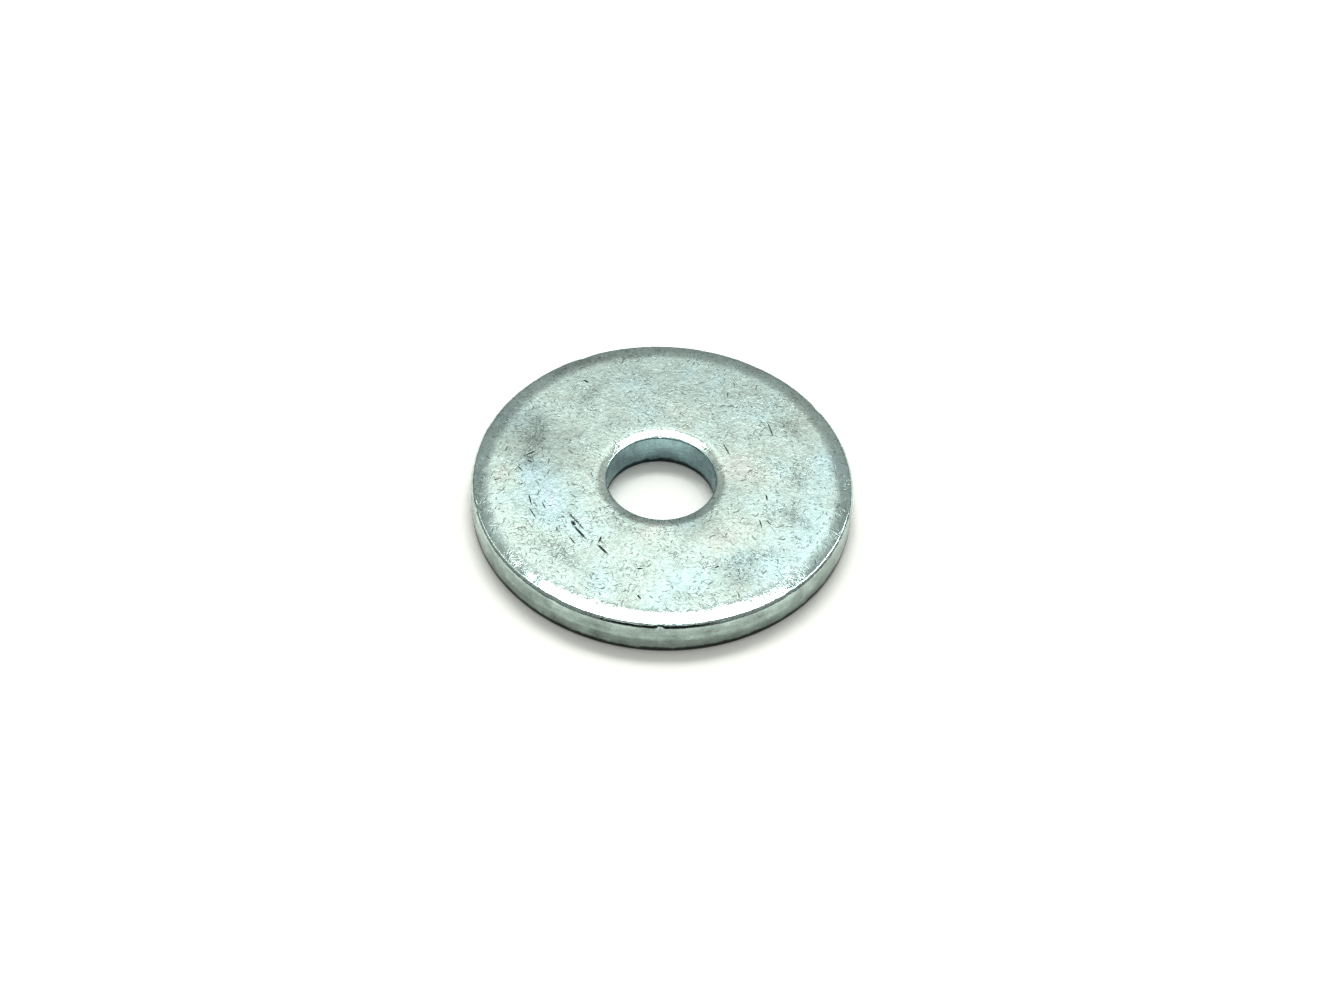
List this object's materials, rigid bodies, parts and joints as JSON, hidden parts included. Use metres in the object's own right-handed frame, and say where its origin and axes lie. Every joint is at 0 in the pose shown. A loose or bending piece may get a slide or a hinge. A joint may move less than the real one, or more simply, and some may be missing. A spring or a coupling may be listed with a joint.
{
  "type": "flat washer",
  "caption": "Round flat steel washer, heavy and wide for its hole, that spreads a bolt's load over a soft or thin face.",
  "frame": {"origin": "centre of the hole, in the plane of the lower bearing face that the washer lies on", "axes": "+Z along the hole's axis, towards the face with the rounded (die-roll) edges; X and Y are free, because the washer is round"},
  "size_m": [0.0296, 0.0296, 0.003],
  "materials": {
    "bright_zinc_plate": "bright zinc plate with a clear blue-green passivate, tumbled, fine mottled grain"
  },
  "bodies": {
    "root": {"washer": "bright_zinc_plate"}
  },
  "joints": []
}
